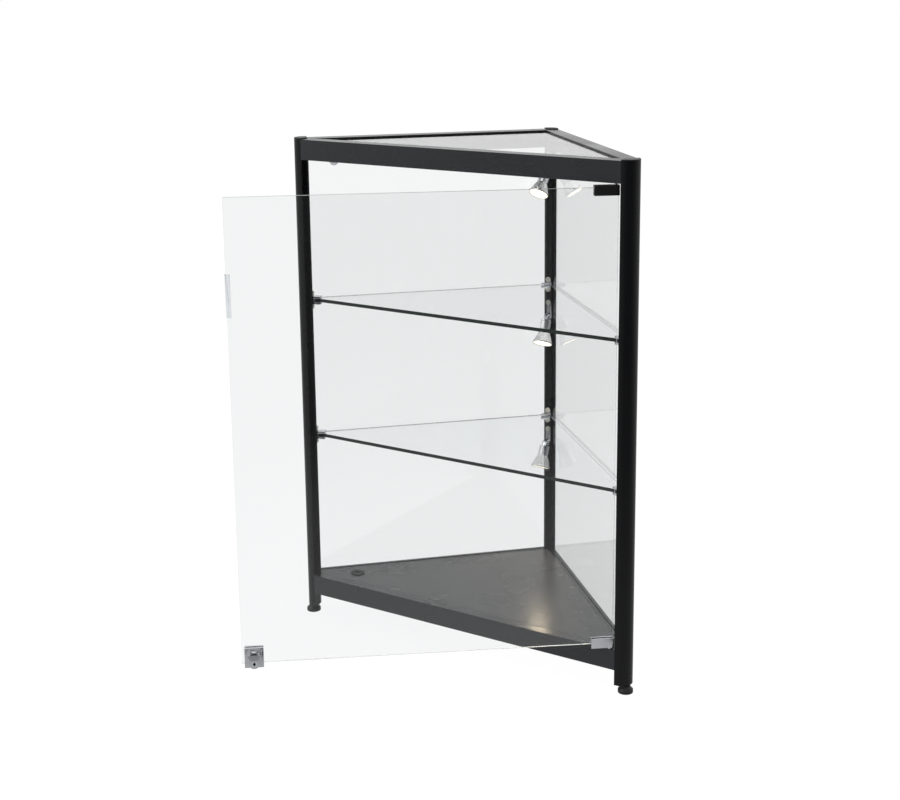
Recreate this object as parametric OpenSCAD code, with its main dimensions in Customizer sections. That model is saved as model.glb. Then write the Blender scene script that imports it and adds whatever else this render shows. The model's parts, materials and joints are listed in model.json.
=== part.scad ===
// Triangular corner display cabinet: aluminium frame, glass sides and top, hinged glass door,
// two glass shelves and three small tilting lamps. Row frame in millimetres: +Z up, the door
// side faces -Y, the square corner is at the back. The origin is under the rear levelling foot.

/* [Cabinet] */
// Length of each square side, measured corner to corner
leg = 500; // [480:5:560]
// Underside of the bottom rails to the top of the top rails
frame_h = 832; // [800:4:900]
// Floor clearance under the bottom rails
ground = 40; // [38:1:48]
// Height of every rail
rail_h = 35; // [34:0.5:38]
// Width of every rail
rail_w = 25; // [24:0.5:26]
// Wall thickness of the extrusions
wall = 2.2; // [1.8:0.1:2.2]

/* [Door] */
// How far the door stands open in the modelled state, degrees
door_open = 38.3; // [0:0.1:70]
// Thickness of the door glass
door_t = 5; // [4:0.5:5]

/* [Shelves] */
// Top face of the lower shelf above the floor
shelf_lo = 342; // [320:1:360]
// Top face of the upper shelf above the floor
shelf_hi = 590; // [580:1:610]
// Shelf glass thickness
shelf_t = 6; // [5:0.5:6]

/* [Lamps] */
// Tilt of the three lamps away from plumb, top one first, degrees
lamp_tilts = [38, 30, 25.5]; // [20:0.5:62]
// Sideways swing of the three lamp arms, top one first, degrees
lamp_swings = [0, 5, 0]; // [0:1:8]

/* [Hidden] */
$fn = 64;

s2 = sqrt(2);
c2 = cos(22.5);
n2 = sin(22.5);
run = 0.05;                        // running clearance on every pivot
half = leg / s2;                   // half of the door side
foot_c = 9.5;                      // rear foot, from both square sides
cy = foot_c * s2;                  // Y of the square corner
fy = cy - half;                    // Y of the door side's outer plane
floor_z = ground + rail_h;         // cabinet floor
top_z = ground + frame_h;          // top of the top rails
lintel = top_z - rail_h;           // underside of the top rails
post_z = 14;                       // lower end of the posts
top_h = top_z - post_z;

// outline of the two sharp corner posts
nose_r = 18.4;                     // rounding of the nose
nose_x = nose_r / tan(22.5);       // where the nose meets the flat sides
nose_over = 0.01;                  // the nose stands this proud, so that its arc ends crisply
post_x = 49;                       // end of the flat sides
post_d = 16;                       // depth of the end faces
post_t = post_x * c2 + post_d * n2; // inner face, along the corner's bisector
stop_x = 56.2;                     // edge of the door stop
foot_t = 38;                       // foot, along the corner's bisector
// outline of the rear post
rear_x = 20;
rear_d = 12;
rear_t = (rear_x + rear_d) / s2;   // inner face, from the square corner
bore_r = 4.2;                      // cable bore
// glass
slot_y = 5.4;                      // glass slot: offset from the outer plane
slot_w = 5.6;
slot_d = 6;
rear_slot_d = 4.7;
slot_over = 14;                    // the posts' slots run this far behind the rails
slot_h = lintel - floor_z + 2 * slot_over;
rail_slot_d = 12;                  // depth of the slots in the rails
channel_d = 14.2;                  // depth of the slotted part of a rail's section
seal = 0.8;
panel_t = 4;
rail_start = 46;                   // rails are cut from here, then trimmed to the posts
mitre = 130;                       // reach of the mitre cuts
panel_in = 15.5;                   // floor panel rebate: sides
panel_front = 17;                  // and front
top_in = rail_w + 1;               // edge of the top glass
ledge_z = 26.9;                    // top of the ledge that carries it
ledge_t = 2.5;
ledge_d = 8;
// shelves and their brackets
shelf_front = 22;
shelf_side = 14.5;
shelf_tip = 57;
shelf_rear = 29;
shelf_zs = [shelf_lo - shelf_t / 2, shelf_hi - shelf_t / 2];
grip_t = 2;                        // bracket plate
grip_l = 16;                       // bracket arm
grip_w = 12;
grip_h = 14;
screw_gap = 11.5;                  // bracket screws above and below the arm
clamp_x = 11;                      // clamp screw under the arm
clamp_out = 1.5;
// door
axis_in = 59.6;                    // pivot from the right corner
axis_y = fy + 6;
axis_x = half - axis_in;
door_back = 4;                     // glass behind the pivot
door_l = 593.75;                   // pivot to the free edge
door_z0 = floor_z + 9.2;
door_z1 = lintel - 6.4;
hinge_l = 34;
hinge_y = 5.8;
pin_r = 2;
bush_r = 3.5;
bumper_at = [107, 16.8];           // door bumper under the top rail, from the left corner
bumper_r = 8;
bush_h = 11;
pull_z = 648;                      // finger pull on the free edge
pull_h = 66;
pull_t = 1.5;
pull_w = 7.75;
hinge_gap = 3.3;                   // half the width of the hinges' channel
upper_h = 15.9;
lower_h = 16.2;
hinge_screw_x = 20;
// lock
lock_x = 574.5;
lock_z = door_z0;
lock_w = 30;
lock_r = 6.5;
lock_back = -5.8;
lock_face = 6.5;
cam_top = lock_back - 0.6;         // where the cam sits on the barrel
spindle_r = 2.5;
cam_t = 2;
cam_l = 22;
cam_w = 9;
// lamps
arm_drop = 26;                     // arm screw to lamp pivot
arm_gap = 6.4;
arm_y = -20.1;                     // Y of the lamp pivots
lamp_zs = [823, 551, 310.3];       // arm screws
rear_face = cy - rear_t;           // Y of the rear post's inner face
arm_reach = rear_face - arm_y;
arm_r = 5;                         // rounded ends of the arm
arm_t = 1.6;
cheek_t = 1.8;
cable_below = 10;                  // the cable leaves the post this far below the arm screw
lamp_pin_r = 1.5;

module at_a() translate([-half, fy, 0]) children();
module at_b() mirror([1, 0, 0]) at_a() children();
module at_c() translate([0, cy, 0]) rotate([0, 0, 225]) children();
module a_bisector() at_a() rotate([0, 0, 22.5]) children();
module c_bisector() translate([0, cy, 0]) rotate([0, 0, -90]) children();
module left_run() translate([-half, fy, 0]) rotate([0, 0, 45]) mirror([0, 1, 0]) children();
module each_corner() {
  a_bisector() translate([post_t, 0, 0]) children();
  mirror([1, 0, 0]) a_bisector() translate([post_t, 0, 0]) children();
  c_bisector() translate([rear_t, 0, 0]) children();
}
module ext(z, h) translate([0, 0, z]) linear_extrude(height = h) children();
module along(x, l) translate([x, 0, 0]) rotate([90, 0, 90]) linear_extrude(height = l) children();
module lie_x(r, l, x = 0) translate([x, 0, 0]) rotate([0, 90, 0]) cylinder(r = r, h = l);
module lie_y(r, l, y = 0) translate([0, y, 0]) rotate([-90, 0, 0]) cylinder(r = r, h = l);

// ---- posts ----
function turned(x, y) = [(x + y) / s2, (x - y) / s2];
sharp_far = 70;                    // beyond the posts' end faces
module sharp_2d() intersection() {
  union() {
    translate([nose_x, nose_r]) circle(r = nose_r + nose_over);
    polygon([[nose_x, 0], [sharp_far, 0], turned(sharp_far, 0), turned(nose_x, 0), [nose_x, nose_r]]);
  }
  polygon([[-10, -10], [post_x, -10], [post_x, post_d],
    turned(post_x, post_d), turned(post_x, -10), [-10, 50]]);
}
module sharp_cavity_2d() intersection() {
  translate([nose_x, nose_r]) circle(r = nose_r - wall);
  polygon([[0, 0], [post_x - 2.5, 0], [post_x - 2.5, 40 * s2 - post_x + 2.5], [14, 40 * s2 - 14], [0, 40]]);
}
module rear_2d() {
  intersection() {
    translate([rear_d, rear_d]) circle(r = rear_d);
    square([rear_d, rear_d]);
  }
  polygon([[rear_d, 0], [rear_x, 0], [rear_x, rear_d],
    [rear_d, rear_x], [0, rear_x], [0, rear_d], [rear_d, rear_d]]);
}
module cleat_spigots(r, x, l, zs) for (z = zs) translate([0, spigot_y, z]) lie_x(r, l, x);
spigot_y = 8.5;
side_joint_in = 11.5;
front_joints = [ground + rail_h / 2, top_z - rail_h / 2];
side_joints = [ground + side_joint_in, top_z - side_joint_in];
function screw_zs(gap) = [for (z = shelf_zs, s = [-1, 1]) z + s * gap];
module sharp_post() difference() {
  at_a() ext(post_z, top_h) difference() {
    sharp_2d();
    sharp_cavity_2d();
  }
  left_run() translate([post_x - slot_d, slot_y, floor_z - slot_over])
    cube([slot_d + 1, slot_w, slot_h]);
  at_a() cleat_spigots(3, post_x - 5, 6, front_joints);
  left_run() cleat_spigots(3, post_x - 5, 6, side_joints);
  for (z = screw_zs(screw_gap)) a_bisector() translate([0, 0, z]) lie_x(2, 8, post_t - 7);
}
module post_left() color([0.09, 0.09, 0.1]) {
  sharp_post();
  at_a() ext(floor_z, lintel - floor_z)
    polygon([[post_x - 1, 9], [stop_x, 9], [stop_x, 12],
      [50.66, 12], [post_x, post_d], [post_x - 1, post_d]]);
}
module post_right() color([0.09, 0.09, 0.1]) mirror([1, 0, 0]) sharp_post();
module post_rear() color([0.09, 0.09, 0.1]) difference() {
  at_c() ext(post_z, top_h) difference() {
    rear_2d();
    translate([foot_c, foot_c]) circle(r = bore_r);
  }
  at_c() for (m = [0, 1]) mirror([m, -m, 0]) {
    translate([rear_x - rear_slot_d, slot_y, floor_z - slot_over])
      cube([rear_slot_d + 1, slot_w, slot_h]);
    cleat_spigots(2.5, rear_x - 5, 6, side_joints);
  }
  for (z = screw_zs(screw_gap)) c_bisector() translate([0, 0, z]) lie_x(2, 7, rear_t - 6);
  for (z = lamp_zs) c_bisector() {
    translate([0, 0, z]) lie_x(1.5, 5, rear_t - 4);
    translate([0, 0, z - cable_below]) lie_x(1.3, 9, rear_t - 8);
  }
}
module post_caps() color([0.05, 0.05, 0.06]) {
  at_a() ext(top_z, 2) sharp_2d();
  at_b() ext(top_z, 2) sharp_2d();
  at_c() ext(top_z, 2) rear_2d();
}

// ---- rails, mitred on the corners' bisectors and cut square against the posts ----
module top_section(slotted) difference() {
  polygon([[0, 0], [rail_w, 0], [rail_w, ledge_z - ledge_t], [rail_w + ledge_d, ledge_z - ledge_t],
    [rail_w + ledge_d, ledge_z], [rail_w, ledge_z], [rail_w, rail_h], [0, rail_h]]);
  if (slotted) {
    translate([slot_y, -1]) square([slot_w, rail_slot_d + 1]);
    translate([wall, channel_d]) square([rail_w - 2 * wall, rail_h - channel_d - wall]);
  } else translate([wall, wall]) square([rail_w - 2 * wall, rail_h - 2 * wall]);
}
module base_section(slotted, rebate) difference() {
  polygon([[0, 0], [rail_w, 0], [rail_w, rail_h - panel_t], [rebate, rail_h - panel_t],
    [rebate, rail_h], [0, rail_h]]);
  if (slotted) {
    translate([slot_y, rail_h - rail_slot_d]) square([slot_w, rail_slot_d + 1]);
    translate([wall, wall]) square([rail_w - 2 * wall, rail_h - channel_d - wall]);
  } else polygon([[wall, wall], [rail_w - wall, wall], [rail_w - wall, rail_h - panel_t - wall],
    [rebate - wall, rail_h - panel_t - wall], [rebate - wall, rail_h - wall], [wall, rail_h - wall]]);
}
module front_rail(z) difference() {
  at_a() translate([0, 0, z]) along(rail_start, 2 * (half - rail_start)) children();
  for (m = [0, 1]) mirror([m, 0, 0]) at_a() ext(z - 1, rail_h + 2) {
    sharp_2d();
    polygon([[0, 0], [mitre, mitre * tan(22.5)], [0, mitre]]);
  }
}
module side_rail(z) difference() {
  left_run() translate([0, 0, z]) along(rail_start, leg - rear_d - 4 - rail_start) children();
  at_a() ext(z - 1, rail_h + 2) {
    sharp_2d();
    polygon([[0, 0], [mitre, mitre * tan(22.5)], [mitre, -60], [0, -60]]);
  }
  at_c() ext(z - 1, rail_h + 2) rear_2d();
  translate([0, -60, z - 1]) cube([120, 120, rail_h + 2]);
}
module rail_top_front() color([0.13, 0.13, 0.14]) difference() {
  front_rail(lintel) top_section(false);
  translate([axis_x, axis_y, lintel - 1]) cylinder(r = bush_r, h = wall + 2);
  at_a() translate([bumper_at.x, bumper_at.y, lintel - 1]) cylinder(r = 1.5, h = wall + 2);
}
module rail_top_left() color([0.13, 0.13, 0.14]) side_rail(lintel) top_section(true);
module rail_top_right() mirror([1, 0, 0]) rail_top_left();
module rail_base_front() color([0.25, 0.26, 0.27]) difference() {
  front_rail(ground) base_section(false, panel_front);
  translate([axis_x, axis_y, floor_z - wall - 1]) cylinder(r = bush_r, h = wall + 2);
}
module rail_base_left() color([0.25, 0.26, 0.27]) side_rail(ground) base_section(true, panel_in);
module rail_base_right() mirror([1, 0, 0]) rail_base_left();

// ---- joining blocks inside the hollow rails, with a spigot into the post ----
cleat_l = 26;
cleat_far = leg - rear_x - cleat_l;
cleat_h = rail_h - channel_d - wall;
module cleat(x, y1, z, h) translate([x, wall, z]) cube([cleat_l, y1 - wall, h]);
module corner_cleats() color([0.62, 0.62, 0.64]) difference() {
  for (m = [0, 1]) mirror([m, 0, 0]) {
    for (i = [0, 1]) at_a() {
      cleat(post_x, panel_front - wall, [ground, lintel][i] + wall, rail_h - 2 * wall);
      cleat_spigots(2.95, post_x - 4.5, 5, [front_joints[i]]);
    }
    left_run() {
      cleat(post_x, panel_front - wall, ground + wall, cleat_h);
      cleat(post_x, panel_front - wall, lintel + channel_d, cleat_h);
      cleat_spigots(2.95, post_x - 4.5, 5, side_joints);
      cleat(cleat_far, 11.4, ground + wall, cleat_h);
      cleat(cleat_far, 11.4, lintel + channel_d, cleat_h);
      cleat_spigots(2.45, leg - rear_x - 0.5, 5, side_joints);
    }
  }
  translate([axis_x, axis_y, lintel]) cylinder(r = bush_r, h = 12);
  translate([axis_x, axis_y, floor_z - 12]) cylinder(r = bush_r, h = 12);
}

// ---- glass and panels: a triangle set in from the outer planes with its corners cut off ----
function side_x(y, s) = y - fy - half + s * s2;
function tri_left(f, s, tip, rear) = [
  [(tip - f * n2) / c2 - half, fy + f],
  [(tip + s * s2 * n2) / (c2 + n2) - half, (tip - s * s2 * c2) / (c2 + n2) + fy],
  [side_x(cy - rear, s), cy - rear]
];
function tri(f, s, tip, rear) = let(p = tri_left(f, s, tip, rear))
  [p[0], p[1], p[2], [-p[2].x, p[2].y], [-p[1].x, p[1].y], [-p[0].x, p[0].y]];
module plate(z, h, f, s, tip, rear) ext(z, h) polygon(tri(f, s, tip, rear));
grommet_at = [111.5 - half, fy + 50];
module base_panel() color([0.45, 0.45, 0.46]) difference() {
  plate(floor_z - panel_t, panel_t, panel_front + 0.5, panel_in + 0.5, post_t + 0.3, rear_t + 0.3);
  translate([grommet_at.x, grommet_at.y, floor_z - 10]) cylinder(r = 10, h = 20);
}
module top_glass() color([0.8, 0.85, 0.85, 0.4]) plate(lintel + ledge_z + 0.5, 5, top_in, top_in, 70, 39);
module top_seal() color([0.1, 0.1, 0.1]) {
  difference() {
    plate(lintel + ledge_z, 5.5, rail_w + 0.2, rail_w + 0.2, 68, 37.8);
    plate(lintel + ledge_z + 0.5, 10, top_in, top_in, 70, 39);
    plate(lintel + ledge_z - 1, 10, top_in + 6, top_in + 6, 84, 47);
  }
}
pane_x0 = post_x - slot_d;
pane_x1 = leg - rear_x + rear_slot_d;
pane_z0 = floor_z - rail_slot_d;
pane_z1 = lintel + rail_slot_d;
module side_pane() left_run() translate([pane_x0 + seal, slot_y + seal, pane_z0 + seal])
  cube([pane_x1 - pane_x0 - 2 * seal, slot_w - 2 * seal, pane_z1 - pane_z0 - 2 * seal]);
module side_seal() difference() {
  left_run() translate([pane_x0, slot_y, pane_z0]) cube([pane_x1 - pane_x0, slot_w, pane_z1 - pane_z0]);
  side_pane();
  left_run() translate([post_x - 0.4, 0, floor_z - 0.4])
    cube([leg - rear_x - post_x + 0.8, 30, lintel - floor_z + 0.8]);
}
module side_glass_left() color([0.8, 0.85, 0.85, 0.4]) side_pane();
module side_glass_right() color([0.8, 0.85, 0.85, 0.4]) mirror([1, 0, 0]) side_pane();
module side_seals() color([0.1, 0.1, 0.1]) for (m = [0, 1]) mirror([m, 0, 0]) side_seal();
module shelf(z) color([0.6, 0.75, 0.7, 0.5])
  plate(z - shelf_t, shelf_t, shelf_front, shelf_side, shelf_tip, shelf_rear);
module shelf_upper() shelf(shelf_hi);
module shelf_lower() shelf(shelf_lo);

// ---- shelf brackets: a plate on the post's inner face and a slotted arm ----
tab_r = 4.6;                       // rounded tabs of the plate
module each_bracket() each_corner() for (z = shelf_zs) translate([0, 0, z]) children();
module each_shelf_screw() each_bracket() for (s = [-1, 1]) translate([0, 0, s * screw_gap]) children();
module shelf_bracket() difference() {
  union() {
    translate([0, -grip_w / 2, -grip_h / 2]) cube([grip_t + grip_l, grip_w, grip_h]);
    for (s = [-1, 1]) translate([0, 0, s * screw_gap]) lie_x(tab_r, grip_t);
    translate([0, -tab_r, -screw_gap]) cube([grip_t, 2 * tab_r, 2 * screw_gap]);
  }
  for (s = [-1, 1]) translate([0, 0, s * screw_gap]) lie_x(2, grip_t + 2, -1);
  translate([5, -grip_w, -shelf_t / 2]) cube([grip_l, 2 * grip_w, shelf_t]);
  translate([clamp_x, 0, -grip_h]) cylinder(r = 2, h = grip_h);
}
module shelf_brackets() color([0.75, 0.76, 0.78]) each_bracket() shelf_bracket();
module shelf_screws() color([0.85, 0.82, 0.74]) each_shelf_screw() difference() {
  union() {
    lie_x(1.9, 6 + grip_t, -6);
    lie_x(4.4, 2, grip_t);
  }
  lie_x(2.4, 2, grip_t + 0.8);
}
module shelf_clamp_screws() color([0.6, 0.6, 0.62]) each_bracket()
  translate([clamp_x, 0, -grip_h / 2 - clamp_out])
    cylinder(r = 1.9, h = grip_h / 2 + clamp_out - shelf_t / 2);

// ---- lamp arms: frame of one arm, origin at its screw on the rear post's face, +x into the cabinet ----
module arm(i) translate([0, rear_face, lamp_zs[i]]) rotate([0, -lamp_swings[i], 0]) children();
module arm_pivot(i) arm(i) translate([0, -arm_reach, -arm_drop]) children();
module arm_bracket() difference() {
  union() {
    lie_y(arm_r, arm_t, -arm_t);
    translate([-arm_r, -arm_t, -arm_drop - arm_r]) cube([2 * arm_r, arm_t, arm_drop + arm_r]);
    for (s = [-1, 1]) translate([s * (arm_gap + cheek_t) / 2 - cheek_t / 2, 0, -arm_drop]) {
      translate([0, -arm_reach, 0]) lie_x(arm_r, cheek_t);
      translate([0, -arm_reach, -arm_r]) cube([cheek_t, arm_reach, 2 * arm_r]);
    }
  }
  lie_y(1.5, 4, -3);
  translate([0, -arm_reach, -arm_drop]) lie_x(lamp_pin_r, 20, -10);
}
module lamp_brackets() color([0.78, 0.78, 0.8]) for (i = [0:2]) arm(i) arm_bracket();
module lamp_bracket_screws() color([0.85, 0.82, 0.74]) for (i = [0:2]) arm(i) {
  lie_y(1.45, 3.6 + arm_t, -arm_t);
  lie_y(3.8, arm_t, -2 * arm_t);
}
module lamp_pins() color([0.7, 0.7, 0.72]) for (i = [0:2]) arm_pivot(i) {
  lie_x(lamp_pin_r, 11, -5.5);
  for (s = [-1, 1]) lie_x(2.6, 1, s * 5.5 - 0.5);
}
cable_z = 48;
module lamp_cable() color([0.12, 0.12, 0.12]) {
  translate([0, 0, cable_z]) cylinder(r = 2, h = lamp_zs[0] - cable_below + 1 - cable_z);
  for (z = lamp_zs) translate([0, 0, z - cable_below]) lie_y(1.2, -rear_face + 0.1, rear_face);
}

// ---- lamp heads: axis along -Z from the pivot before tilting ----
module head(i) arm_pivot(i) rotate([-lamp_tilts[i], 0, 0]) mirror([0, 0, 1]) children();
tongue_w = arm_gap - 0.4;
tongue_r = 4;
module socket(i) color([0.75, 0.75, 0.77]) head(i) difference() {
  union() {
    lie_x(tongue_r, tongue_w, -tongue_w / 2);
    translate([-tongue_w / 2, -tongue_r, 0]) cube([tongue_w, 2 * tongue_r, 7]);
    translate([0, 0, 6]) cylinder(r = 9.5, h = 18);
  }
  lie_x(lamp_pin_r + run, 12, -6);
}
module reflector(i) color([0.85, 0.85, 0.86]) head(i) rotate_extrude()
  polygon([[0, 24], [9.5, 24], [17.5, 43], [17.5, 46], [16.3, 46],
    [16.3, 42.5], [15.3, 42.5], [8, 26], [0, 26]]);
module led(i) color([1, 0.85, 0.5]) head(i) translate([0, 0, 26]) cylinder(r = 5, h = 2);
module lens(i) color([1, 0.93, 0.75]) head(i) translate([0, 0, 42.5]) cylinder(r = 16.3, h = 2.5);

// ---- door: x runs from the pivot to the free edge, +y is the outside ----
module door() translate([axis_x, axis_y, 0]) rotate([0, 0, 180 + door_open]) children();
module door_glass() color([0.8, 0.85, 0.87, 0.4]) door() difference() {
  translate([-door_back, -door_t / 2, door_z0]) cube([door_l + door_back, door_t, door_z1 - door_z0]);
  translate([lock_x, 0, lock_z]) lie_y(lock_r + 2, 20, -10);
}
module door_pull() color([0.8, 0.82, 0.84]) door() translate([0, 0, pull_z]) {
  translate([door_l + pull_t - pull_w, door_t / 2, 0]) cube([pull_w, pull_t, pull_h]);
  translate([door_l, -door_t / 2, 0]) cube([pull_t, door_t + pull_t, pull_h]);
  translate([door_l + pull_t - pull_w, door_t / 2, 0]) cube([pull_t, 7, pull_h]);
}
hinge_zs = [door_z1 - 12.1, door_z0 - 6.9];
hinge_screw_zs = [hinge_zs[0] + 6, hinge_zs[1] + 12];
module hinge_hole(z) translate([hinge_screw_x, 0, z]) lie_y(1.5, 4, -hinge_gap - 3.7);
module hinge_upper() color([0.06, 0.06, 0.065]) door() difference() {
  translate([-5, -hinge_y, hinge_zs[0]]) cube([hinge_l + 5, 2 * hinge_y, upper_h]);
  translate([-6, -hinge_gap, hinge_zs[0] - 1]) cube([hinge_l + 7, 2 * hinge_gap, upper_h - 2]);
  cylinder(r = pin_r, h = lintel);
  hinge_hole(hinge_screw_zs[0]);
}
module hinge_lower() color([0.72, 0.73, 0.75]) door() difference() {
  translate([-5, -hinge_y, hinge_zs[1]]) cube([hinge_l + 3, 2 * hinge_y, lower_h]);
  translate([-6, -hinge_gap, door_z0 - seal]) cube([hinge_l + 7, 2 * hinge_gap, 20]);
  translate([0, 0, hinge_zs[1] - 1]) cylinder(r = pin_r, h = 4);
  hinge_hole(hinge_screw_zs[1]);
}
module hinge_pads() color([0.15, 0.15, 0.15]) door() difference() {
  union() {
    translate([-door_back, -hinge_gap, hinge_zs[0] + 0.5]) cube([hinge_l + 3, 2 * hinge_gap, 12.4]);
    translate([-door_back, -hinge_gap, door_z0 - seal]) cube([hinge_l + 1, 2 * hinge_gap, 9.6]);
  }
  translate([-50, -door_t / 2, door_z0]) cube([200, door_t, door_z1 - door_z0]);
}
module hinge_screws() color([0.5, 0.5, 0.52]) door()
  for (z = hinge_screw_zs) translate([hinge_screw_x, 0, z]) lie_y(1.4, 3.2, -hinge_gap - 3.2);
module pivot_pins() color([0.7, 0.7, 0.72]) door() {
  translate([0, 0, door_z1 + seal]) cylinder(r = pin_r, h = lintel + 7 - door_z1 - seal);
  translate([0, 0, floor_z - 9]) cylinder(r = pin_r, h = hinge_zs[1] + 3 - floor_z + 9);
}
module pivot_bushes() color([0.85, 0.85, 0.8]) for (z = [floor_z - bush_h, lintel])
  translate([axis_x, axis_y, z]) difference() {
    cylinder(r = bush_r, h = bush_h);
    translate([0, 0, -1]) cylinder(r = pin_r + run, h = bush_h + 2);
  }
module pivot_washer() color([0.85, 0.85, 0.8]) translate([axis_x, axis_y, floor_z]) difference() {
  cylinder(r = 5.5, h = 2);
  translate([0, 0, -1]) cylinder(r = pin_r + run, h = 4);
}
module door_bumper() color([0.85, 0.9, 0.9, 0.6]) at_a() translate([bumper_at.x, bumper_at.y, lintel]) {
  difference() {
    sphere(r = bumper_r);
    translate([-10, -10, 0]) cube([20, 20, 20]);
  }
  cylinder(r = 1.45, h = wall);
}
module cable_grommet() color([0.04, 0.04, 0.04])
translate([grommet_at.x, grommet_at.y, floor_z]) difference() {
  union() {
    cylinder(r = 12, h = 1.8);
    translate([0, 0, -panel_t]) cylinder(r = 9.9, h = panel_t);
  }
  for (a = [0, 90]) rotate([0, 0, a]) translate([-8, -0.6, -10]) cube([16, 1.2, 20]);
}

// ---- lock on the door's lower corner ----
module lock() door() translate([lock_x, 0, lock_z]) children();
module each_lock_screw() for (s = [-1, 1]) translate([s * 12, 0, 23]) children();
module lock_body() color([0.72, 0.73, 0.75]) lock() difference() {
  union() {
    translate([-lock_w / 2, lock_back, -6.2]) cube([lock_w, lock_face - lock_back, 33]);
    lie_y(8.5, lock_face - lock_back + 0.8, lock_back);
    translate([0, 0, 13.3]) rotate([-90, 0, 0]) cylinder(r = 10.5, h = lock_face + 1.6, $fn = 6);
  }
  difference() {
    translate([-lock_w, -door_t / 2, 0]) cube([2 * lock_w, door_t, 40]);
    lie_y(lock_r + 1.9, door_t, -door_t / 2);
  }
  lie_y(lock_r + run, 40, -20);
  each_lock_screw() lie_y(1.5, 6, door_t / 2);
}
module lock_screws() color([0.8, 0.8, 0.82]) lock() each_lock_screw() {
  lie_y(1.45, lock_face - door_t / 2, door_t / 2);
  lie_y(2.4, 1.2, lock_face);
}
module lock_cylinder() color([0.66, 0.67, 0.7]) lock() difference() {
  union() {
    lie_y(lock_r, 8 - cam_top, cam_top);
    lie_y(spindle_r, cam_t + 0.1, cam_top - cam_t);
  }
  rotate([-90, 0, 0]) ext(4, 10) polygon([[0, -4], [2.4, 0], [0, 4], [-2.4, 0]]);
  lie_y(1.5, 8, lock_back - 4);
}
module lock_cam() color([0.6, 0.6, 0.62]) lock() difference() {
  translate([0, cam_top - cam_t, 0]) union() {
    translate([-cam_w / 2, 0, 0]) cube([cam_w, cam_t, cam_l]);
    lie_y(cam_w / 2, cam_t);
  }
  lie_y(spindle_r, 20, -15);
}
module cam_screw() color([0.5, 0.5, 0.52]) lock() {
  lie_y(1.45, 5, cam_top - cam_t);
  lie_y(3.4, 1.4, cam_top - cam_t - 1.4);
}

// ---- levelling feet ----
foot_a = [foot_t * c2 - half, fy + foot_t * n2];
stem_r = 3;
insert_h = 30;
pad_r = 12.5;
module foot_inserts() color([0.1, 0.1, 0.1]) difference() {
  union() {
    for (m = [0, 1]) mirror([m, 0, 0]) at_a() ext(post_z, insert_h) sharp_cavity_2d();
    translate([0, 0, post_z]) cylinder(r = bore_r, h = insert_h);
  }
  for (m = [0, 1]) mirror([m, 0, 0]) translate([foot_a.x, foot_a.y, 0]) cylinder(r = stem_r + run, h = 60);
  cylinder(r = stem_r + run, h = 60);
}
module foot() color([0.06, 0.06, 0.06]) {
  cylinder(r = pad_r, h = 5);
  translate([0, 0, 5]) rotate_extrude() polygon([[0, 0], [pad_r, 0], [8, 5], [8, 7], [0, 7]]);
  translate([0, 0, 12]) cylinder(r = 6, h = 2, $fn = 6);
  translate([0, 0, 12]) cylinder(r = stem_r, h = 26);
}
module foot_rear() foot();
module foot_left() translate([foot_a.x, foot_a.y, 0]) foot();
module foot_right() mirror([1, 0, 0]) foot_left();

post_left();
post_right();
post_rear();
post_caps();
rail_top_front();
rail_top_left();
rail_top_right();
rail_base_front();
rail_base_left();
rail_base_right();
corner_cleats();
base_panel();
top_glass();
top_seal();
side_glass_left();
side_glass_right();
side_seals();
shelf_upper();
shelf_lower();
shelf_brackets();
shelf_screws();
shelf_clamp_screws();
lamp_brackets();
lamp_bracket_screws();
lamp_pins();
lamp_cable();
pivot_bushes();
pivot_washer();
door_bumper();
cable_grommet();
foot_inserts();
door_glass();
door_pull();
hinge_upper();
hinge_lower();
hinge_pads();
hinge_screws();
pivot_pins();
lock_body();
lock_screws();
lock_cylinder();
lock_cam();
cam_screw();
socket(0);  // lamp_1_socket
reflector(0);  // lamp_1_reflector
led(0);  // lamp_1_led
lens(0);  // lamp_1_lens
socket(1);  // lamp_2_socket
reflector(1);  // lamp_2_reflector
led(1);  // lamp_2_led
lens(1);  // lamp_2_lens
socket(2);  // lamp_3_socket
reflector(2);  // lamp_3_reflector
led(2);  // lamp_3_led
lens(2);  // lamp_3_lens
foot_rear();
foot_left();
foot_right();
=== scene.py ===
"""Looks of a glass corner display cabinet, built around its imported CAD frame.

Lengths are in metres unless a name or comment says millimetres, and +Z is up.
"""
import json
import math

import bmesh
import bpy
from mathutils import Matrix, Vector

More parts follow.
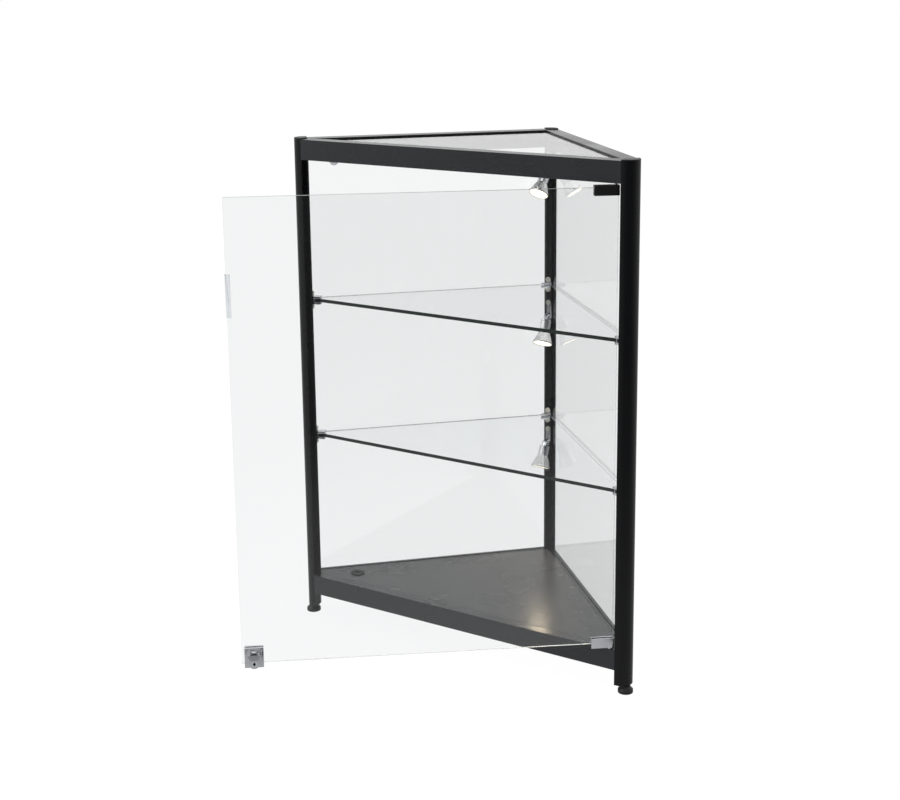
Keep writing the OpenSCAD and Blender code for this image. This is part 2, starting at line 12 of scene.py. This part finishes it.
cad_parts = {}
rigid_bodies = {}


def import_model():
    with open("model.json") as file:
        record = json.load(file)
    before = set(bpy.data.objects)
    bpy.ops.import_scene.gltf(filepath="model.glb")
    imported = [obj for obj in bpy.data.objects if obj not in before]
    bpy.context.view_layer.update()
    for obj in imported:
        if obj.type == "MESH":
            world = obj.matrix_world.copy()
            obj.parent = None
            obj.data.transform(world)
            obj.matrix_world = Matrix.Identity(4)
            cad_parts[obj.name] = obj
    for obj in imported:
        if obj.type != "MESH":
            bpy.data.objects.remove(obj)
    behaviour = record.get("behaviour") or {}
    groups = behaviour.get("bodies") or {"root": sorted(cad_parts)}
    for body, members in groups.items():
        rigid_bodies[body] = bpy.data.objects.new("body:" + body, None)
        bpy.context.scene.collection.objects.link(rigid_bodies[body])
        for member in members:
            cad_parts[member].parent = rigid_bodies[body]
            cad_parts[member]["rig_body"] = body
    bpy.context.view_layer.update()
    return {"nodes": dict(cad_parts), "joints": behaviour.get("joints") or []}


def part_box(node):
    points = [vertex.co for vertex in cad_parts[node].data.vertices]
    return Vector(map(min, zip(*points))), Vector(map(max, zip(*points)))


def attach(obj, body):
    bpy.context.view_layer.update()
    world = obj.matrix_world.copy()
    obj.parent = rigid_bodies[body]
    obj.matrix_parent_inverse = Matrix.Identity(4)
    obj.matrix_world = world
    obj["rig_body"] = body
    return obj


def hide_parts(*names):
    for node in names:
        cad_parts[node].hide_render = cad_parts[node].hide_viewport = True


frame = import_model()
nodes = frame["nodes"]
joints = {j["name"]: j for j in frame["joints"]}
# numbers of the lamps
LAMPS = (1, 2, 3)

MM = 0.001
WHITE = (1.0, 1.0, 1.0, 1.0)
# how far the door stands open, from closed
DOOR_OPEN = math.radians(38.3)
# outward direction of the door's front face as it stands
DOOR_FACE = Vector((math.sin(DOOR_OPEN), -math.cos(DOOR_OPEN), 0.0))


# ---------------------------------------------------------------- node helpers
def scaled(color, factor):
    """The colour made darker or lighter by a factor, never past white."""
    return tuple(min(1.0, c * factor) for c in color)


class Shade:
    """The node tree of a material or a world, with short ways to add and link nodes."""

    def __init__(self, owner, output="ShaderNodeOutputMaterial"):
        self.owner = owner
        owner.use_nodes = True
        self.tree = owner.node_tree
        self.tree.nodes.clear()
        self.output = self.add(output)
        self.coords = self.add("ShaderNodeTexCoord")

    def add(self, kind, **values):
        node = self.tree.nodes.new(kind)
        for key, value in values.items():
            setattr(node, key, value)
        return node

    def link(self, source, target):
        self.tree.links.new(source, target)

    def surface(self, socket):
        self.link(socket, self.output.inputs["Surface"])

    def shader(self, color, rough, **values):
        node = self.add("ShaderNodeBsdfPrincipled")
        node.inputs["Base Color"].default_value = (*color, 1.0)
        node.inputs["Roughness"].default_value = rough
        for key, value in values.items():
            node.inputs[key.replace("_", " ")].default_value = value
        return node

    def math(self, kind, a, b=0.0):
        node = self.add("ShaderNodeMath", operation=kind)
        for socket, value in zip(node.inputs, (a, b)):
            if isinstance(value, (int, float)):
                socket.default_value = value
            else:
                self.link(value, socket)
        return node.outputs[0]

    def noise(self, scale, detail=3.0, stretch=(1, 1, 1)):
        mapping = self.add("ShaderNodeMapping")
        mapping.inputs["Scale"].default_value = stretch
        self.link(self.coords.outputs["Object"], mapping.inputs["Vector"])
        node = self.add("ShaderNodeTexNoise")
        node.inputs["Scale"].default_value = scale
        node.inputs["Detail"].default_value = detail
        self.link(mapping.outputs[0], node.inputs["Vector"])
        return node.outputs["Fac"]

    def span(self, value, low, high, start=0.3, end=0.7):
        node = self.add("ShaderNodeMapRange", clamp=True)
        self.link(value, node.inputs["Value"])
        for key, number in (("From Min", start), ("From Max", end), ("To Min", low), ("To Max", high)):
            node.inputs[key].default_value = number
        return node.outputs[0]

    def tint(self, value, low, high):
        node = self.add("ShaderNodeMix", data_type="RGBA")
        self.link(value, node.inputs["Factor"])
        node.inputs["A"].default_value = (*low, 1.0)
        node.inputs["B"].default_value = (*high, 1.0)
        return node.outputs["Result"]

    def bump(self, value, depth, target, strength=1.0):
        node = self.add("ShaderNodeBump")
        node.inputs["Strength"].default_value = strength
        node.inputs["Distance"].default_value = depth
        self.link(value, node.inputs["Height"])
        self.link(node.outputs[0], target.inputs["Normal"])

    def facing(self, direction, limit=0.9):
        """1 on faces that look along the direction, either way, and 0 on the others."""
        dot = self.add("ShaderNodeVectorMath", operation="DOT_PRODUCT")
        self.link(self.coords.outputs["Normal"], dot.inputs[0])
        dot.inputs[1].default_value = direction
        size = self.math("ABSOLUTE", dot.outputs["Value"])
        return self.math("GREATER_THAN", size, limit)


def satin_black(name, color, low, high, grain, level):
    """Anodised extrusion: fine drawn lines along its length and a soft sheen."""
    s = Shade(bpy.data.materials.new(name))
    node = s.shader(color, low, Specular_IOR_Level=level)
    lines = s.noise(900.0, 2.0, grain)
    clouds = s.noise(9.0)
    s.link(s.span(clouds, low, high), node.inputs["Roughness"])
    drawn = s.tint(s.span(lines, 0.0, 1.0), scaled(color, 0.96), scaled(color, 1.04))
    s.link(drawn, node.inputs["Base Color"])
    s.bump(lines, 0.001 * MM, node, 0.02)
    s.surface(node.outputs[0])
    return s.owner


def plastic(name, color, low, high, scale=220.0, depth=0.05, level=0.5):
    """Moulded plastic with a fine grain."""
    s = Shade(bpy.data.materials.new(name))
    node = s.shader(color, low, Specular_IOR_Level=level)
    grain = s.noise(scale, 4.0)
    s.link(s.span(s.noise(14.0), low, high), node.inputs["Roughness"])
    grainy = s.tint(s.span(grain, 0.0, 1.0), scaled(color, 0.85), scaled(color, 1.15))
    s.link(grainy, node.inputs["Base Color"])
    s.bump(grain, depth * MM, node, 0.3)
    s.surface(node.outputs[0])
    return s.owner


def metal(name, color, low, high, scale=60.0, depth=0.01):
    """Plated or bare metal with faint smudges and polishing marks."""
    s = Shade(bpy.data.materials.new(name))
    node = s.shader(color, low, Metallic=1.0)
    smudge = s.noise(scale, 4.0)
    marks = s.noise(1400.0, 2.0, (1.0, 1.0, 0.08))
    s.link(s.span(smudge, low, high), node.inputs["Roughness"])
    s.link(s.tint(s.span(smudge, 0.0, 1.0), scaled(color, 0.88), color), node.inputs["Base Color"])
    s.bump(marks, depth * MM, node, 0.2)
    s.surface(node.outputs[0])
    return s.owner


def metal_with_painted_keyway_shade(name, color, rough, front):
    """Plated metal whose recess, further back than front from the door's middle, is painted near black and
    not metallic, as painted shade in the keyway.
    """
    s = Shade(bpy.data.materials.new(name))
    node = s.shader(color, rough, Metallic=1.0)
    depth = s.add("ShaderNodeVectorMath", operation="DOT_PRODUCT")
    s.link(s.coords.outputs["Object"], depth.inputs[0])
    depth.inputs[1].default_value = DOOR_FACE
    pivot = Vector(joints["door_swing"]["pos_m"])
    keyway_shade = s.math("LESS_THAN", depth.outputs["Value"], pivot.dot(DOOR_FACE) + front)
    # painted shade: the keyway recess gets a near-black, non-metallic colour
    s.link(s.tint(keyway_shade, color, (0.004, 0.004, 0.004)), node.inputs["Base Color"])
    s.link(s.math("SUBTRACT", 1.0, keyway_shade), node.inputs["Metallic"])
    s.link(s.span(s.noise(60.0, 4.0), rough, rough * 1.6), node.inputs["Roughness"])
    s.surface(node.outputs[0])
    return s.owner


def glass(name, tint, edge, direction, edge_rough=0.25, dark_edge=None):
    """Clear sheet: the faces along direction are polished and tinted, the ground edges are darker.
    dark_edge is the direction of an edge so long behind it that it looks solid."""
    s = Shade(bpy.data.materials.new(name))
    node = s.shader(tint, 0.0, IOR=1.5, Transmission_Weight=1.0)
    face = s.facing(direction)
    color = s.tint(face, edge, tint)
    if dark_edge:
        deep = s.facing(dark_edge)
        blend = s.add("ShaderNodeMix", data_type="RGBA")
        s.link(deep, blend.inputs["Factor"])
        s.link(color, blend.inputs["A"])
        blend.inputs["B"].default_value = (*DEEP_GLASS, 1.0)
        color = blend.outputs["Result"]
        s.link(s.math("SUBTRACT", 1.0, deep), node.inputs["Transmission Weight"])
    s.link(color, node.inputs["Base Color"])
    smudge = s.span(s.noise(5.0, 4.0), 0.0, 0.003, 0.5, 0.75)
    edge_part = s.math("MULTIPLY", s.math("SUBTRACT", 1.0, face), edge_rough)
    s.link(s.math("ADD", smudge, edge_part), node.inputs["Roughness"])
    clear = s.add("ShaderNodeBsdfTransparent")
    clear.inputs["Color"].default_value = (*[c * c for c in tint], 1.0)
    path = s.add("ShaderNodeLightPath")
    mix = s.add("ShaderNodeMixShader")
    s.link(path.outputs["Is Shadow Ray"], mix.inputs[0])
    s.link(node.outputs[0], mix.inputs[1])
    s.link(clear.outputs[0], mix.inputs[2])
    s.surface(mix.outputs[0])
    return s.owner


def glow(name, color, strength, base):
    """A lit lens or LED: a glowing surface with a faint prismatic pattern."""
    s = Shade(bpy.data.materials.new(name))
    node = s.shader(base, 0.3, Emission_Strength=strength)
    pattern = s.noise(700.0, 1.0)
    s.link(s.tint(s.span(pattern, 0.0, 1.0), scaled(color, 0.75), color), node.inputs["Emission Color"])
    s.bump(pattern, 0.1 * MM, node, 0.5)
    s.surface(node.outputs[0])
    return s.owner


UP = (0.0, 0.0, 1.0)
FRONT = (0.0, 1.0, 0.0)
# what a long sheet of glass looks like from its edge
DEEP_GLASS = (0.006, 0.014, 0.011)
LEFT_FACE = (math.sqrt(0.5), -math.sqrt(0.5), 0.0)
RIGHT_FACE = (math.sqrt(0.5), math.sqrt(0.5), 0.0)
UPRIGHT_GRAIN = (1.0, 1.0, 0.02)
FLAT_GRAIN = (0.02, 0.02, 1.0)
BLACK = (0.0035, 0.0038, 0.0045)
GRAPHITE = (0.013, 0.014, 0.0165)
# the lock's keyway lies nearer the door's middle plane than this; there the barrel is painted black as
# shade
KEYWAY_FRONT = 7.6 * MM
# direction of the unlit side of the studio
UNLIT = (0.6, -0.8, 0.0)

mats = {
    "post": satin_black("post_black", BLACK, 0.22, 0.3, UPRIGHT_GRAIN, 0.22),
    "rail": satin_black("rail_black", GRAPHITE, 0.22, 0.32, FLAT_GRAIN, 0.5),
    "cap": plastic("cap_black", (0.012, 0.012, 0.014), 0.35, 0.5, level=0.3),
    "black_plastic": plastic("foot_black", (0.008, 0.008, 0.009), 0.4, 0.55, level=0.35),
    "rubber": plastic("seal_rubber", (0.012, 0.012, 0.012), 0.6, 0.8, 400.0, 0.08, 0.3),
    "gloss_black": plastic("hinge_black", (0.006, 0.006, 0.007), 0.16, 0.26, 300.0, 0.01, 0.5),
    "panel": plastic("floor_laminate", (0.05, 0.052, 0.054), 0.26, 0.28, 500.0, 0.003, 0.3),
    "chrome": metal("chrome", (0.66, 0.675, 0.7), 0.1, 0.18),
    "gem": metal("polished_facets", (0.42, 0.43, 0.45), 0.04, 0.07),
    "barrel": metal_with_painted_keyway_shade("lock_barrel_chrome_keyway_shade", (0.66, 0.675, 0.7), 0.12, KEYWAY_FRONT),
    "steel": metal("steel", (0.52, 0.53, 0.55), 0.25, 0.4),
    "alloy": metal("cast_alloy", (0.5, 0.5, 0.52), 0.4, 0.55, 200.0, 0.05),
    "lamp": metal("lamp_silver", (0.55, 0.56, 0.58), 0.2, 0.32),
    "mirror": metal("reflector_silver", (0.6, 0.6, 0.6), 0.1, 0.18, 200.0),
    # painted highlight: these screw heads are chrome, and their bright highlight is painted over the whole
    # head as a cream colour
    "painted_highlight": plastic("screw_painted_highlight", (0.62, 0.6, 0.54), 0.3, 0.42, 300.0, 0.02),
    "pale": plastic("pale_nylon", (0.7, 0.7, 0.66), 0.4, 0.5),
    "jacket": plastic("cable_jacket", (0.02, 0.02, 0.02), 0.5, 0.6),
    "side_left": glass("side_glass_left", (0.965, 0.972, 0.972), (0.3, 0.42, 0.38), LEFT_FACE),
    "side_right": glass("side_glass_right", (0.965, 0.972, 0.972), (0.3, 0.42, 0.38), RIGHT_FACE),
    "door": glass("door_glass", (0.948, 0.955, 0.96), (0.6, 0.66, 0.66), DOOR_FACE, 0.4),
    "top": glass("top_glass", (0.985, 0.99, 0.99), (0.3, 0.4, 0.38), UP),
    "shelf": glass("shelf_glass", (0.955, 0.97, 0.965), (0.6, 0.68, 0.66), UP, 0.2, FRONT),
    "clear": glass("clear_acrylic", (0.93, 0.95, 0.96), (0.9, 0.93, 0.95), UP, 0.05),
    "frosted": plastic("bumper_frosted", (0.62, 0.64, 0.68), 0.15, 0.25, 300.0, 0.01, 0.6),
    "lens": glow("lamp_lens", (1.0, 0.88, 0.66), 2.4, (0.9, 0.85, 0.75)),
    "led": glow("lamp_led", (1.0, 0.85, 0.55), 6.0, (0.9, 0.8, 0.5)),
}

LOOKS = {
    "post": ["post_left", "post_right", "post_rear"],
    "rail": ["rail_top_front", "rail_top_left", "rail_top_right",
             "rail_base_front", "rail_base_left", "rail_base_right"],
    "cap": ["post_caps"],
    "black_plastic": ["cable_grommet", "foot_inserts", "foot_rear", "foot_left", "foot_right"],
    "rubber": ["top_seal", "side_seals", "hinge_pads"],
    "gloss_black": ["hinge_upper"],
    "panel": ["base_panel"],
    "chrome": ["shelf_brackets", "lamp_brackets", "hinge_lower", "lock_body", "pivot_washer"],
    "barrel": ["lock_cylinder"],
    "steel": ["shelf_clamp_screws", "lamp_pins", "hinge_screws", "pivot_pins", "lock_cam", "cam_screw",
              "lock_screws"],
    "alloy": ["corner_cleats"],
    "lamp": [f"lamp_{i}_socket" for i in LAMPS],
    "mirror": [f"lamp_{i}_reflector" for i in LAMPS],
    "painted_highlight": ["shelf_screws", "lamp_bracket_screws"],
    "pale": ["pivot_bushes"],
    "jacket": ["lamp_cable"],
    "side_left": ["side_glass_left"],
    "side_right": ["side_glass_right"],
    "door": ["door_glass"],
    "top": ["top_glass"],
    "shelf": ["shelf_upper", "shelf_lower"],
    "clear": ["door_pull"],
    "frosted": ["door_bumper"],
    "lens": [f"lamp_{i}_lens" for i in LAMPS],
    "led": [f"lamp_{i}_led" for i in LAMPS],
}


def dress(obj, material):
    obj.data.materials.clear()
    obj.data.materials.append(material)


for look, names in LOOKS.items():
    for name in names:
        dress(nodes[name], mats[look])


# ---------------------------------------------------------------- pieces
def lamp_axis(i):
    """(pivot, unit direction of the beam) of a lamp at rest."""
    pivot = Vector(joints[f"lamp_{i}_tilt"]["pos_m"])
    low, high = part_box(f"lamp_{i}_lens")
    return pivot, ((low + high) / 2 - pivot).normalized()


def revolve(profile, sides, flute=None):
    """A mesh turned about +Z from (radius, height) points.
    flute(radius, height, angle) may vary the radius."""
    mesh = bmesh.new()
    rings = []
    for radius, height in profile:
        ring = []
        for k in range(sides):
            angle = 2 * math.pi * k / sides
            r = flute(radius, height, angle) if flute else radius
            ring.append(mesh.verts.new((r * math.cos(angle), r * math.sin(angle), height)))
        rings.append(ring)
    for a, b in zip(rings, rings[1:]):
        for k in range(sides):
            n = (k + 1) % sides
            mesh.faces.new((a[k], a[n], b[n], b[k]))
    mesh.faces.new(list(reversed(rings[0])))
    mesh.faces.new(rings[-1])
    return mesh


def piece(name, mesh, place, material, body, smooth=True):
    data = bpy.data.meshes.new(name)
    bmesh.ops.recalc_face_normals(mesh, faces=mesh.faces)
    mesh.to_mesh(data)
    mesh.free()
    data.transform(place)
    for face in data.polygons:
        face.use_smooth = smooth
    obj = bpy.data.objects.new(name, data)
    bpy.context.scene.collection.objects.link(obj)
    obj.data.materials.append(material)
    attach(obj, body)
    return obj


# edges that turn by more than this are rounded, in this many steps
ROUND_ANGLE = math.radians(35.0)
ROUND_STEPS = 2
# vertices closer than this are one, and faces that turn by less than this are one
MERGE = 0.004 * MM
FLAT_ANGLE = math.radians(0.6)


def soften(name, width):
    """Replaces a CAD node by the same shape with its sharp edges rounded by width."""
    source = nodes[name]
    mesh = bmesh.new()
    mesh.from_mesh(source.data)
    bmesh.ops.remove_doubles(mesh, verts=mesh.verts, dist=MERGE)
    bmesh.ops.dissolve_limit(mesh, angle_limit=FLAT_ANGLE, verts=mesh.verts, edges=mesh.edges)
    obj = piece(name + "_rounded", mesh, Matrix.Identity(4), source.data.materials[0],
                source["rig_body"])
    bevel = obj.modifiers.new("round", "BEVEL")
    bevel.width = width
    bevel.segments = ROUND_STEPS
    bevel.limit_method = "ANGLE"
    bevel.angle_limit = ROUND_ANGLE
    bevel.miter_outer = "MITER_ARC"
    bevel.harden_normals = True
    bpy.context.view_layer.objects.active = obj
    bpy.ops.object.modifier_apply(modifier=bevel.name)
    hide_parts(name)


for name in ("hinge_upper", "hinge_lower", "lock_body", "shelf_brackets"):
    soften(name, 0.5 * MM)
for name in ("lamp_brackets", "door_pull", "post_caps"):
    soften(name, 0.3 * MM)


# ---------------------------------------------------------------- lamp reflectors
# outline of a reflector in millimetres: radius, distance along its axis from the pivot
REFLECTOR = [
    (9.5, 24.0), (10.2, 25.0), (11.6, 28.5), (13.6, 33.5), (15.4, 38.5), (16.2, 41.6), (16.4, 42.4),
    (17.5, 42.8), (17.5, 45.6), (17.1, 46.0), (16.5, 46.0), (16.35, 45.2), (16.35, 42.6), (15.3, 42.5)]
REFLECTOR_SIDES = 144
FLUTES = 24
FLUTE_DEPTH = 0.75 * MM
# the flutes lie between these distances, on the parts of the outline wider than FLUTE_INNER
FLUTE_START = 25.5 * MM
FLUTE_END = 41.0 * MM
FLUTE_INNER = 11.0 * MM


def fluted(radius, height, angle):
    """Cooling flutes round the cone, none at the rim or the socket."""
    if not FLUTE_START < height < FLUTE_END or radius < FLUTE_INNER:
        return radius
    return radius - FLUTE_DEPTH * max(0.0, math.cos(FLUTES * angle))


for i in LAMPS:
    pivot, beam = lamp_axis(i)
    place = Matrix.Translation(pivot) @ beam.to_track_quat("Z", "X").to_matrix().to_4x4()
    shell = revolve([(r * MM, h * MM) for r, h in REFLECTOR], REFLECTOR_SIDES, fluted)
    cone = piece(f"lamp_{i}_cone", shell, place, mats["mirror"], f"lamp_{i}")
    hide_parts(f"lamp_{i}_reflector")


# ---------------------------------------------------------------- the lock's boss
DOOR_TURN = Matrix.Rotation(math.pi + DOOR_OPEN, 4, "Z")
# the lock: millimetres along the door from its pivot, and above the floor
LOCK_ALONG = 574.5
LOCK_HEIGHT = 84.2
# the boss's foot: millimetres out from the door's middle plane, and above the lock's middle
BOSS_OUT = 8.1
BOSS_UP = 13.3
BOSS_SIDES = 6
# its rings in millimetres: half width, half height, distance out from its foot
BOSS_RIM = (10.6, 9.6, 0.0)
BOSS_WAIST = (7.4, 7.0, 2.6)
BOSS_TABLE = (4.2, 3.8, 3.4)


def door_point(along, out, height):
    """A point given in millimetres along the door from its pivot, out from its middle plane, and up."""
    pivot = Vector(joints["door_swing"]["pos_m"])
    turned = DOOR_TURN @ Vector((along * MM, out * MM, 0.0))
    return Vector((pivot.x + turned.x, pivot.y + turned.y, height * MM))


def make_boss():
    """The lock's cut and polished boss, over the flat one of its body."""
    foot = door_point(LOCK_ALONG, BOSS_OUT, LOCK_HEIGHT + BOSS_UP)
    mesh = bmesh.new()

    def corner(ring, angle):
        half_width, half_height, out = (size * MM for size in ring)
        return mesh.verts.new((half_width * math.cos(angle), out, half_height * math.sin(angle)))

    rim, waist, table = [], [], []
    for k in range(BOSS_SIDES):
        angle = math.pi * k / (BOSS_SIDES / 2)
        rim.append(corner(BOSS_RIM, angle))
        waist.append(corner(BOSS_WAIST, angle + math.pi / BOSS_SIDES))
        table.append(corner(BOSS_TABLE, angle))
    for k in range(BOSS_SIDES):
        n = (k + 1) % BOSS_SIDES
        mesh.faces.new((rim[k], rim[n], waist[k]))
        mesh.faces.new((waist[k], rim[n], waist[n]))
        mesh.faces.new((waist[k], waist[n], table[n]))
        mesh.faces.new((table[k], waist[k], table[n]))
    mesh.faces.new(table)
    mesh.faces.new(list(reversed(rim)))
    place = Matrix.Translation(foot) @ DOOR_TURN
    piece("lock_boss", mesh, place, mats["gem"], "door", smooth=False)


make_boss()


# ---------------------------------------------------------------- floor, lights, world, camera
# brightness of the floor as seen, and of its nearest and its far unlit part in reflections
FLOOR_SEEN = 0.985
FLOOR_NEAR = 0.6
FLOOR_FAR = 0.07
# distances from the middle over which the floor's reflection darkens on the unlit side
FLOOR_FADE = (0.4, 2.0)
FLOOR_COLOR = (0.03, 0.03, 0.03, 1.0)
FLOOR_SIZE = 30.0
# brightness of the studio as seen, and of its lit and unlit parts to light that has bounced
STUDIO_SEEN = 1.0
STUDIO_LIT = 0.97
STUDIO_UNLIT = 0.08
# upward slopes between which the unlit side brightens to the lit overhead
OVERHEAD = (0.45, 0.85)
# how closely a direction agrees with UNLIT where that side begins and where it is full
UNLIT_EDGE = (0.2, 0.9)


def dark_side(s, vector):
    """1 towards the unlit side of the studio, in front of the cabinet and to its right, and 0 elsewhere."""
    flat = s.add("ShaderNodeVectorMath", operation="MULTIPLY")
    s.link(vector, flat.inputs[0])
    flat.inputs[1].default_value = (1.0, 1.0, 0.0)
    unit = s.add("ShaderNodeVectorMath", operation="NORMALIZE")
    s.link(flat.outputs[0], unit.inputs[0])
    dot = s.add("ShaderNodeVectorMath", operation="DOT_PRODUCT")
    s.link(unit.outputs[0], dot.inputs[0])
    dot.inputs[1].default_value = UNLIT
    return s.span(dot.outputs["Value"], 0.0, 1.0, *UNLIT_EDGE)


def make_floor():
    """A floor that glows evenly as seen. In reflections it is dimmer, most of all far out on the
    unlit side."""
    s = Shade(bpy.data.materials.new("floor_white"))
    place = s.add("ShaderNodeNewGeometry")
    away = s.add("ShaderNodeVectorMath", operation="LENGTH")
    s.link(place.outputs["Position"], away.inputs[0])
    far = s.span(away.outputs["Value"], 0.0, 1.0, *FLOOR_FADE)
    fade = s.math("MULTIPLY", far, dark_side(s, place.outputs["Position"]))
    mirrored = s.span(fade, FLOOR_NEAR, FLOOR_FAR, 0.0, 1.0)
    path = s.add("ShaderNodeLightPath")
    pick = s.add("ShaderNodeMix", data_type="FLOAT")
    s.link(s.math("MINIMUM", path.outputs["Glossy Depth"], 1.0), pick.inputs["Factor"])
    pick.inputs["A"].default_value = FLOOR_SEEN
    s.link(mirrored, pick.inputs["B"])
    shine = s.add("ShaderNodeEmission")
    s.link(pick.outputs["Result"], shine.inputs["Strength"])
    matte = s.add("ShaderNodeBsdfDiffuse")
    matte.inputs["Color"].default_value = FLOOR_COLOR
    both = s.add("ShaderNodeAddShader")
    s.link(shine.outputs[0], both.inputs[0])
    s.link(matte.outputs[0], both.inputs[1])
    s.surface(both.outputs[0])
    data = bpy.data.meshes.new("floor")
    size = FLOOR_SIZE
    corners = [(-size, -size, 0), (size, -size, 0), (size, size, 0), (-size, size, 0)]
    data.from_pydata(corners, [], [(0, 1, 2, 3)])
    obj = bpy.data.objects.new("floor", data)
    bpy.context.scene.collection.objects.link(obj)
    obj.data.materials.append(s.owner)


def make_world():
    """A studio that is white as seen. To light that has bounced off something it is dim in front and to
    the right, and bright overhead and behind."""
    world = bpy.data.worlds.new("studio")
    bpy.context.scene.world = world
    s = Shade(world, "ShaderNodeOutputWorld")
    ray = s.coords.outputs["Generated"]
    split = s.add("ShaderNodeSeparateXYZ")
    s.link(ray, split.inputs[0])
    low = s.math("SUBTRACT", 1.0, s.span(split.outputs["Z"], 0.0, 1.0, *OVERHEAD))
    shade = s.math("MULTIPLY", low, dark_side(s, ray))
    studio = s.span(shade, STUDIO_LIT, STUDIO_UNLIT, 0.0, 1.0)
    path = s.add("ShaderNodeLightPath")
    pick = s.add("ShaderNodeMix", data_type="FLOAT")
    bounces = s.math("ADD", path.outputs["Glossy Depth"], path.outputs["Diffuse Depth"])
    s.link(s.math("SUBTRACT", 1.0, s.math("MINIMUM", bounces, 1.0)), pick.inputs["Factor"])
    s.link(studio, pick.inputs["A"])
    pick.inputs["B"].default_value = STUDIO_SEEN
    shine = s.add("ShaderNodeBackground")
    shine.inputs["Color"].default_value = WHITE
    s.link(pick.outputs["Result"], shine.inputs["Strength"])
    s.surface(shine.outputs[0])


def area_light(name, place, aim, size, power):
    data = bpy.data.lights.new(name, "AREA")
    data.shape = "RECTANGLE"
    data.size, data.size_y = size
    data.energy = power
    obj = bpy.data.objects.new(name, data)
    obj.location = place
    obj.rotation_euler = (Vector(aim) - Vector(place)).to_track_quat("-Z", "Y").to_euler()
    bpy.context.scene.collection.objects.link(obj)


# a lamp's beam: watts, colour, full angle, radius of the source, distance from the pivot
BEAM_POWER = 0.75
BEAM_COLOR = (1.0, 0.82, 0.58)
BEAM_ANGLE = math.radians(110)
BEAM_RADIUS = 0.012
BEAM_START = 0.05


def lamp_light(i):
    pivot, beam = lamp_axis(i)
    data = bpy.data.lights.new(f"lamp_{i}_beam", "SPOT")
    data.energy = BEAM_POWER
    data.color = BEAM_COLOR
    data.spot_size = BEAM_ANGLE
    data.spot_blend = 1.0
    data.shadow_soft_size = BEAM_RADIUS
    obj = bpy.data.objects.new(f"lamp_{i}_beam", data)
    obj.location = pivot + beam * BEAM_START
    obj.rotation_euler = beam.to_track_quat("-Z", "Y").to_euler()
    bpy.context.scene.collection.objects.link(obj)
    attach(obj, f"lamp_{i}")


CAMERA_PLACE = Vector((1.3277, -2.434, 1.1751))
# the way it looks: turned from +X, down, and rolled
CAMERA_YAW = math.radians(122.45)
CAMERA_PITCH = math.radians(12.58)
CAMERA_ROLL = math.radians(-0.63)
CAMERA_LENS = 61.68
CAMERA_SHIFT = -0.11


def make_camera():
    place = CAMERA_PLACE
    yaw, pitch, roll = CAMERA_YAW, CAMERA_PITCH, CAMERA_ROLL
    ahead = Vector((math.cos(pitch) * math.cos(yaw), math.cos(pitch) * math.sin(yaw), -math.sin(pitch)))
    side = Vector((math.sin(yaw), -math.cos(yaw), 0.0))
    up = side.cross(ahead)
    right = side * math.cos(roll) + up * math.sin(roll)
    top = up * math.cos(roll) - side * math.sin(roll)
    data = bpy.data.cameras.new("camera")
    data.sensor_width = 36.0
    data.lens = CAMERA_LENS
    data.shift_y = CAMERA_SHIFT
    data.clip_end = 100.0
    obj = bpy.data.objects.new("camera", data)
    obj.matrix_world = Matrix((
        (right.x, top.x, -ahead.x, place.x),
        (right.y, top.y, -ahead.y, place.y),
        (right.z, top.z, -ahead.z, place.z),
        (0, 0, 0, 1)))
    bpy.context.scene.collection.objects.link(obj)
    bpy.context.scene.camera = obj


make_camera()
make_floor()
make_world()
area_light("key", (-1.6, -2.6, 2.4), (0, -0.15, 0.45), (1.6, 1.2), 22)
area_light("top", (0.2, -0.1, 2.6), (0, -0.15, 0.4), (1.8, 1.8), 14)
for lamp in LAMPS:
    lamp_light(lamp)
bpy.context.scene.view_settings.view_transform = "Standard"
